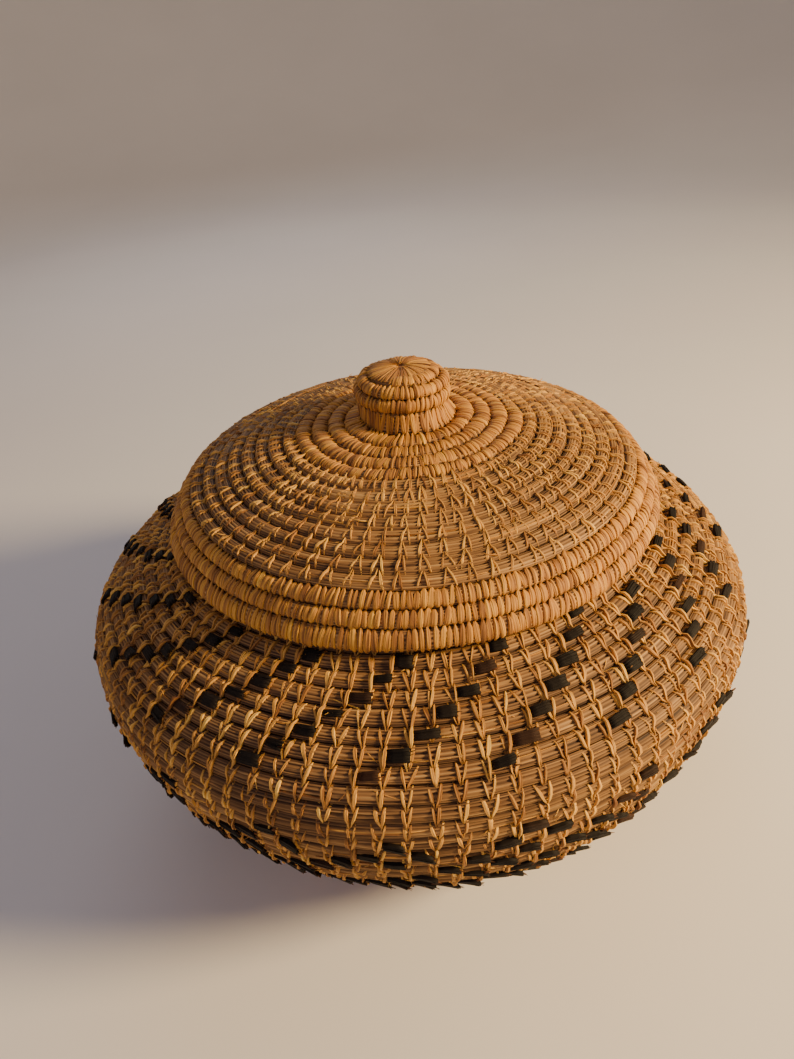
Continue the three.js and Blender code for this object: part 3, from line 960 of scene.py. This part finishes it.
def stitch_places(coil, first, last):
    """The number of each stitch, how many turns along the coil it comes up, and its room."""
    columns, lean, _ = SEWING[coil.body]
    per_turn = columns + lean
    number = np.arange(math.ceil(first * per_turn), math.ceil(last * per_turn))
    places = number / per_turn
    room = coil.way_round(places) / columns
    every = np.where(room > ROOM_FOR_FOURTH, 4, 8)
    every = np.where(room > ROOM_FOR_SECOND, 2, every)
    every = np.where(room > ROOM_FOR_EACH, 1, every)
    kept = number % every == 0
    return number[kept], places[kept], (room * every)[kept]


def holds_strip(number, turn):
    """Whether a dark strip is held by each stitch of the bowl."""
    row = (bowl.distance(turn + 0.5) - FOOT_RADIUS) / BOWL_ROW
    in_upper, in_lower, in_between = (
        (row > low) & (row < high) for low, high in (UPPER_ROWS, LOWER_ROWS, BETWEEN_ROWS)
    )
    arm = (number - FIRST_ARM) % ARM_REPEAT
    main = (arm % ARM_SPACING == 0) & (arm < BOWL_COLUMNS)
    extra = (arm % ARM_SPACING == BETWEEN_ARMS) & (rng.random(len(number)) < BETWEEN_SHARE)
    return (main & (in_upper | in_lower)) | (extra & in_between)


print("stitches in the belly:", len(stitch_places(bowl, *bowl.runs["belly"])[0]))

# %% [markdown]
# ## The split stitches
#
# Each stitch is one strip that comes up through the stitch below and goes over the new row. The
# next row's stitch splits it, so that it shows as a V, whose two legs start side by side in the
# older row and part on the way up. One V could be copied all over the basket, but handwork is
# never so even, so each leg gets its own slant, width, thickness and colour. The inside of the
# basket has stitches of the same kind.

# %% Stitches
STRAW_TONE, STRAW_SPREAD, LEG_SPREAD = 0.52, 0.14, 0.1
APEX_ASIDE, APEX_DOWN, APEX_DOWN_SPREAD = 0.5, -0.2, 0.06
FOOT_APART, FOOT_ASIDE, FOOT_DOWN = 0.16, 0.15, 0.03
TOP_APART, TOP_SHARE, TOP_ASIDE, TOP_UP = 2.0, 0.25, 0.7, 0.02
LEG_SHARE, LEG_WIDTHS = 0.28, (0.6, 1.3)
LEG_THICKNESS, LEG_THICKNESSES = 0.8, (0.6, 1.1)
LEG_LIFTS = (0, 0.3)
HELD_TOP, HELD_LIFT = 1.2, 1.0  # of a leg that goes over a dark strip


def stitches(coil, turn, room, held, side=1):
    """V-shaped stitches. The right leg of one that holds a dark strip goes over that strip."""
    columns, lean, broad = SEWING[coil.body]
    count = len(turn)
    shift = -lean / columns * coil.way_round(turn)
    apart = np.minimum(TOP_APART, TOP_SHARE * room)
    parts = []
    tone = rng.normal(STRAW_TONE, STRAW_SPREAD, count)
    apex_x = rng.normal(0, APEX_ASIDE, count)
    apex_y = rng.normal(APEX_DOWN, APEX_DOWN_SPREAD, count)
    for hand in (-1, 1):
        jitter = rng.normal(0, 1, (3, count))
        foot_x = apex_x + hand * FOOT_APART + jitter[0] * FOOT_ASIDE
        foot = (foot_x, apex_y + jitter[0] * FOOT_DOWN)
        top_x = shift + hand * apart + jitter[1] * TOP_ASIDE
        wide = np.minimum(broad, LEG_SHARE * room) * between(LEG_WIDTHS, count)
        thick = LEG_THICKNESS * broad * between(LEG_THICKNESSES, count)
        leg_tone = np.clip(tone + rng.normal(0, LEG_SPREAD, count), 0, 1)
        lift = between(LEG_LIFTS, count)
        if hand == 1:
            top_x, lift = np.where(held, HELD_TOP, top_x), np.where(held, HELD_LIFT, lift)
        top = (top_x, 1.0 + jitter[2] * TOP_UP)
        legs = (foot, top, wide, thick, leg_tone, (lift, lift))
        parts.append(lay_strips(coil, leg_shape, turn, *legs, side=side))
    return stack(parts)


# %% [markdown]
# ## The close wraps
#
# The knob, the rows round its foot, the lid's band and the bowl's collar get the most wear, so
# there the straw is wound strip by strip until no grass shows. Wraps are laid at an even distance
# along the rows, and each is a little wider or narrower than its room, so that some overlap and
# some leave a thin dark gap. A striped texture would look the same from far away, but the edge of
# the rows would stay smooth against the light.

# %% Wraps
WRAP_PITCH = {"knob": 2.1, "knob_foot": 2.2, "lid_band": 2.4, "neck": 2.6, "mouth": 2.6}
MEASURED_STEPS = 400
WRAP_SLANT, SLANT_SPREAD, WRAP_ASIDE = 0.4, 0.35, 0.25
WRAP_START, WRAP_END, WRAP_UNEVEN = -0.05, 1.0, 0.04
WRAP_WIDTHS, WRAP_THICKNESSES = (0.7, 1.3), (0.45, 1.05)
WRAP_SUNK, WRAP_HUG = 0.05, 0.85


def wraps(coil, first, last, pitch, side=1):
    """Strips side by side over the rows of a close-wrapped run."""
    steps = np.linspace(first, last, MEASURED_STEPS)
    around = coil.way_round(steps)
    passed = np.concatenate([[0], np.cumsum((around[1:] + around[:-1]) / 2 * np.diff(steps))])
    count = int(passed[-1] / pitch)
    turn = np.interp((np.arange(count) + 0.5) * pitch, passed, steps)
    jitter = rng.normal(0, 1, (4, count))
    slant = WRAP_SLANT + SLANT_SPREAD * jitter[3]
    start = (slant + WRAP_ASIDE * jitter[0], WRAP_START + WRAP_UNEVEN * jitter[1])
    end_y = WRAP_END + WRAP_UNEVEN * rng.normal(0, 1, count)
    end = (WRAP_ASIDE * jitter[2] - slant, end_y)
    width, thick = pitch * between(WRAP_WIDTHS, count), between(WRAP_THICKNESSES, count)
    strips = (start, end, width, thick, near(STRAW_TONE, STRAW_SPREAD, count))
    return lay_strips(coil, wrap_shape, turn, *strips, sunk=WRAP_SUNK, hug=WRAP_HUG, side=side)


# %% [markdown]
# ## Sewing the rows
#
# Every run gets either wraps or stitches, on its outside and on its inside. Each could have lines
# of its own here, but one loop goes along the coils in the order in which a maker sews them. The
# stitches that hold a dark strip are remembered, with their places, for the strips below.

# %% Stitches and wraps
CAP_TURNS = 0.7  # of the knob's coil, all under its cap

total, held_places = 0, {}
for coil in (bowl, lid):
    for name, (first, last) in coil.runs.items():
        end = last - TAIL if last == coil.turns else last
        if name in WRAPPED:
            shown = first + (CAP_TURNS if name == "knob" else 0)
            sides = [wraps(coil, shown, end, WRAP_PITCH[name])]
            sides.append(wraps(coil, first, end, WRAP_PITCH[name], side=-1))
            piece = new_piece(name + "_wraps", stack(sides), wrap_straw, coil.body)
        else:
            number, turn, room = stitch_places(coil, first, end)
            free = np.zeros(len(turn), dtype=bool)
            held = holds_strip(number, turn) if coil is bowl else free
            if held.any():
                held_places[name] = turn[held], room[held]
            sides = [stitches(coil, turn, room, held)]
            sides.append(stitches(coil, turn, room, free, side=-1))
            piece = new_piece(name + "_stitches", stack(sides), stitch_straw, coil.body)
        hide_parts(name + "_coil")
        total += len(piece.data.polygons)
print("stitches and wraps:", total, "faces")

# %% [markdown]
# ## The knob's cap
#
# On top of the knob the rows lie flat, and long stitches run over them from the middle like the
# spokes of a wheel, so the spiral is hidden. One disc with lines on it would be quicker to make,
# but its rim would be smooth. The spokes are the same split straw, laid from near the middle to
# the edge of the cap. Their width grows outwards by itself, because it is a share of the turn.

# %% Cap
CAP_RADIUS, CAP_SPOKES = 14.6, 46
SPOKE_STARTS = (1.4, 3.4)  # by turns, so that they don't crowd in the middle
SPOKE_ASIDE, START_UNEVEN, RIM_UNEVEN = (-0.2, 0.2), (-0.4, 0.6), (-0.5, 0.3)
SPOKE_OVERLAP, SPOKE_SLANT = 1.1, 0.4
SPOKE_THICKNESSES, SPOKE_TONE, SPOKE_TONE_SPREAD = (0.4, 0.8), 0.5, 0.15


def cap(coil):
    """Straws like the spokes of a wheel, from near the axis to the rim of the cap."""
    count = CAP_SPOKES
    turn = (np.arange(count) + between(SPOKE_ASIDE, count)) / count
    inner = np.where(np.arange(count) % 2, *SPOKE_STARTS) + between(START_UNEVEN, count)
    outer = CAP_RADIUS + between(RIM_UNEVEN, count)
    width = coil.way_round(turn) / count * SPOKE_OVERLAP
    thick = between(SPOKE_THICKNESSES, count)
    tone = near(SPOKE_TONE, SPOKE_TONE_SPREAD, count)
    start_y, end_y = (
        (reach - coil.distance(turn)) / coil.row_height(turn) for reach in (inner, outer)
    )
    start, end = (SPOKE_SLANT * width, start_y), (-SPOKE_SLANT * width, end_y)
    return lay_strips(coil, wrap_shape, turn, start, end, width, thick, tone, hug=0)


piece = new_piece("knob_cap", cap(lid), wrap_straw, "lid")
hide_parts("knob_coil")
print("cap:", len(piece.data.polygons), "faces")

# %% [markdown]
# ## The finish of the dark strips
#
# The dark strips are dyed nearly black, and are duller than the straw. Some have faded to a dark
# red brown, and where they fray, the undyed inside of the fibres shows. Three materials could show
# this, but one colour ramp from black to reddish brown holds all of it, and the tone number picks
# the place on it.

# %% Dark strip material
DARK_COLOURS = [
    (0.10, (0.0055, 0.0042, 0.0034)),
    (0.45, (0.015, 0.0090, 0.0065)),
    (0.65, (0.055, 0.021, 0.009)),
    (0.90, (0.200, 0.075, 0.028)),
]

dark_fibre = plant_material(
    "dark_fibre", DARK_COLOURS, STREAKS, weights=(0.8, 0.2), bump=0.0008, gloss=0.18
)
print("dark material:", len(dark_fibre.node_tree.nodes), "nodes")

# %% [markdown]
# ## The fibres of a dark strip
#
# Each dark strip is a flat bunch of four stiff fibres, as long as the room between two stitches.
# Its left end is cut square and tucked under a stitch, and its right end is free and stands off
# the row. One flat bar for each strip would be simpler, but the notches between the fibres are
# what the eye sees against the light. So each fibre is a bar of its own, a little shorter or wider
# than the next.

# %% Fibres
STRIP_START = 1.5  # to the right of the middle of the stitch that holds it
BLADES, BLADE_RINGS = 4, [(0.8, 0.8), (1, 1), (1, 1), (0.9, 0.8)]
MIDDLE_BLADE = (BLADES - 1) / 2
BLADE_ASIDE, BLADE_LENGTHS, BLADE_FAN = 0.1, (0.9, 1.0), 0.02
BLADE_WIDTHS, BLADE_THICKNESSES = (1.3, 1.5), (1.0, 1.4)
BLADE_LIFT, BLADE_LIFTS, BLADE_LIFT_SPREAD = 0.2, (0, 0.08), 0.12

blade_shape = model_strip("blade", BLADE_RINGS, top_width=0.8)


def blade(k, turn, length, low, high, tilt, free, tone):
    """Fibre k of every strip, from its square end to its free end."""
    count = len(turn)
    y = low + (high - low) * (k + 0.5) / BLADES
    left = STRIP_START + rng.normal(0, BLADE_ASIDE, count)
    right = STRIP_START + length * between(BLADE_LENGTHS, count)
    wide = (high - low) * BOWL_ROW / BLADES * between(BLADE_WIDTHS, count)
    held_lift = BLADE_LIFT + between(BLADE_LIFTS, count)
    free_lift = BLADE_LIFT + free + rng.normal(0, BLADE_LIFT_SPREAD, count)
    thick = between(BLADE_THICKNESSES, count)
    ends = (left, y), (right, y + tilt + (k - MIDDLE_BLADE) * BLADE_FAN)
    return lay_strips(bowl, blade_shape, turn, *ends, wide, thick, tone, (held_lift, free_lift))


print("faces of a fibre:", len(blade_shape[1]))

# %% [markdown]
# ## The frayed ends
#
# The free end of each fibre has split into thin hairs, reddish brown where the dye didn't reach. A
# picture with a ragged edge could stand in for them, but it has no thickness. They are slim bars
# that start within the fibre, pass its end and rise off the row.

# %% Frayed ends
FRAYS, FRAY_RINGS = 4, [(1, 1), (0.8, 0.8), (0.3, 0.3)]
MIDDLE_FRAY = (FRAYS - 1) / 2
FRAY_ASIDE, FRAY_STARTS, FRAY_ENDS = 0.05, (0.7, 0.8), (-0.4, 1.5)
FRAY_FAN, FRAY_SPREAD = 0.05, 0.07
FRAY_WIDTHS, FRAY_THICKNESSES, FRAY_PALER = (0.3, 0.75), (0.3, 0.55), (0.25, 0.75)
# Each end's own lift, and the share that it has of the lift of the strip's free end.
START_LIFT, START_SHARE, END_LIFT, END_SHARE = 0.6, 0.7, 0.4, 1.15
END_LIFTS = (-0.4, 0.8)

fray_shape = model_strip("fray", FRAY_RINGS, top_width=0.6)


def fray(k, turn, length, low, high, tilt, free, tone):
    """Frayed end k of every strip, thinner and paler than the fibres."""
    count = len(turn)
    y = low + (high - low) * (k + 0.5) / FRAYS + rng.normal(0, FRAY_ASIDE, count)
    left = STRIP_START + length * between(FRAY_STARTS, count)
    right = STRIP_START + length + between(FRAY_ENDS, count)
    aside = y + tilt + (k - MIDDLE_FRAY) * FRAY_FAN + rng.normal(0, FRAY_SPREAD, count)
    start_lift = START_LIFT + free * START_SHARE
    end_lift = END_LIFT + free * END_SHARE + between(END_LIFTS, count)
    paler = np.clip(tone + between(FRAY_PALER, count), 0, 1)
    wide, thick = between(FRAY_WIDTHS, count), between(FRAY_THICKNESSES, count)
    ends = (left, y), (right, aside)
    return lay_strips(bowl, fray_shape, turn, *ends, wide, thick, paler, (start_lift, end_lift))


print("faces of a frayed end:", len(fray_shape[1]))

# %% [markdown]
# ## The dark strips
#
# A strip sits at each stitch that was chosen to hold one. No two are alike: each has its own
# length, margins, tilt and tone, and some have faded. Low on the wall, where the basket is rubbed
# more, the free ends stand off a little further. They could be laid one by one, but it is quicker
# to draw the numbers for a whole run at once, first those that all fibres of a strip share.

# %% Dark strips
STRIP_LENGTH, STRIP_SHARE, STRIP_LENGTHS = 9.3, 1.12, (0.8, 1.08)
STRIP_MARGIN, MARGINS, TILT_SPREAD = 0.17, (0, 0.15), 0.07
FADED_SHARE, FADED_TONES, DYED_TONES = 0.15, (0.45, 0.62), (0.08, 0.32)
FREE_LIFTS = (0.3, 1.9)
RUBBED, RUBBED_LIFT = (160, 200), (0.3, 0)  # from and to these millimetres along the outline


def dark_strips(turn, room):
    """A strip at each place: its fibres side by side, and the frayed ends of the fibres."""
    count = len(turn)
    faded = rng.random(count) < FADED_SHARE
    tone = np.where(faded, between(FADED_TONES, count), between(DYED_TONES, count))
    length = np.minimum(STRIP_LENGTH, STRIP_SHARE * room) * between(STRIP_LENGTHS, count)
    free = between(FREE_LIFTS, count) + np.interp(bowl.distance(turn), RUBBED, RUBBED_LIFT)
    low = STRIP_MARGIN + between(MARGINS, count)
    high = 1 - STRIP_MARGIN - between(MARGINS, count)
    tilt = rng.normal(0, TILT_SPREAD, count)
    strips = (turn, length, low, high, tilt, free, tone)
    parts = [blade(k, *strips) for k in range(BLADES)]
    return stack(parts + [fray(k, *strips) for k in range(FRAYS)])


for name, (turn, room) in held_places.items():
    piece = new_piece(name + "_strips", dark_strips(turn, room), dark_fibre, "bowl")
print("dark strips:", sum(len(turn) for turn, _ in held_places.values()))

# %% [markdown]
# ## Loose stems and stray fibres
#
# No basket of this kind is tidy. Here and there a pale stem lies on top of its bundle, and short
# ends of straw stick out of the rows. A hair system could draw them, but it isn't a mesh, as the
# other pieces are. These are long and thin copies of the bars above, laid at random places.

# %% Loose stems
STEM_EVERY, STRAY_EVERY = 45, 40  # millimetres of row
RUN_END = 0.1  # of a turn, in which none starts
STEM_LENGTHS, STEM_PLACES = (14, 42), (0.15, 0.85)
STEM_DRIFT, STEM_LIMITS = 0.07, (0.12, 0.88)
STEM_WIDTHS, STEM_THICKNESSES, STEM_LIFT = (0.4, 0.85), (0.35, 0.6), (0.1, 0.15)
STEM_TONE, STEM_TONE_SPREAD = 0.36, 0.18
STRAY_ALONG, STRAY_ACROSS = 4, 0.35
STRAY_WIDTHS, STRAY_THICKNESSES, STRAY_LIFTS = (0.3, 0.7), (0.25, 0.45), (0.5, 2.4)
STRAY_TONE, STRAY_TONE_SPREAD = 0.55, 0.2


def loose_stems(coil, first, last, count):
    """Long stems that lie along the row."""
    turn = between((first, last - RUN_END), count)
    length, y = between(STEM_LENGTHS, count), between(STEM_PLACES, count)
    end_y = np.clip(y + rng.normal(0, STEM_DRIFT, count), *STEM_LIMITS)
    wide, thick = between(STEM_WIDTHS, count), between(STEM_THICKNESSES, count)
    tone = near(STEM_TONE, STEM_TONE_SPREAD, count)
    ends = (np.zeros(count), y), (length, end_y)
    return lay_strips(coil, stem_shape, turn, *ends, wide, thick, tone, STEM_LIFT)


def stray_ends(coil, first, last, count):
    """Short ends that point anywhere and stand off the row."""
    turn = between((first, last - RUN_END), count)
    run_x, run_y = rng.normal(0, STRAY_ALONG, count), rng.normal(0, STRAY_ACROSS, count)
    y = between((0, 1), count)
    wide, thick = between(STRAY_WIDTHS, count), between(STRAY_THICKNESSES, count)
    tone = near(STRAY_TONE, STRAY_TONE_SPREAD, count)
    ends = (np.zeros(count), y), (run_x + np.sign(run_x), y + run_y)
    lift = (0.0, between(STRAY_LIFTS, count))
    return lay_strips(coil, fray_shape, turn, *ends, wide, thick, tone, lift)


total = 0
for coil in (bowl, lid):
    for name, (first, last) in coil.runs.items():
        if name in WRAPPED or name == "base":
            continue
        length = coil.way_round((first + last) / 2) * (last - first)
        parts = [loose_stems(coil, first, last, int(length / STEM_EVERY))]
        parts.append(stray_ends(coil, first, last, int(length / STRAY_EVERY)))
        piece = new_piece(name + "_loose", stack(parts), stitch_straw, coil.body)
        total += len(piece.data.polygons)
print("loose stems and strays:", total, "faces")

# %% [markdown]
# ## The buttons
#
# Each spiral starts as a tight knot, drawn in at its middle. It is a short cylinder whose two end
# faces are inset three times, a little deeper each time. It could be wound from thin straws like
# the rows, but nearly all of it is hidden by the first row and the cap.

# %% Buttons
KNOT_RADIUS, KNOT_SIDES, KNOT_TONE = 5.2, 24, 0.3
KNOT_INSETS = ((1.2, 0.0), (1.4, -0.2), (1.2, -0.5))  # how far in, and how much deeper
FACES_UP = 0.9  # or down, where the upright part of a face's normal is more than this


def button(name, node_name, coil):
    deselect_all()
    bpy.ops.mesh.primitive_cylinder_add(
        vertices=KNOT_SIDES, radius=KNOT_RADIUS * MM, depth=THICKNESS * MM
    )
    made = bpy.context.object
    made.name = name
    select(made.data, "FACE", lambda face: abs(face.normal.z) > FACES_UP)
    for margin, deeper in KNOT_INSETS:
        bpy.ops.mesh.inset(thickness=margin * MM, depth=deeper * MM)
    bpy.ops.object.mode_set(mode="OBJECT")
    low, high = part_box(node_name)
    made.location = (coil.off_centre * MM, 0, (low.z + high.z) / 2)
    bpy.ops.object.transform_apply(location=True, rotation=True, scale=True)
    bpy.ops.object.shade_smooth()
    made.data.uv_layers[0].name = "along"
    spots = made.data.attributes.new("tone", "FLOAT", "POINT")
    tones = np.full(len(made.data.vertices), KNOT_TONE, np.float32)
    spots.data.foreach_set("value", tones)
    made.data.materials.append(wrap_straw)
    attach(made, coil.body)
    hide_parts(node_name)
    print(name + ":", len(made.data.polygons), "faces")


button("base_knot", "base_button", bowl)
button("knob_knot", "knob_button", lid)
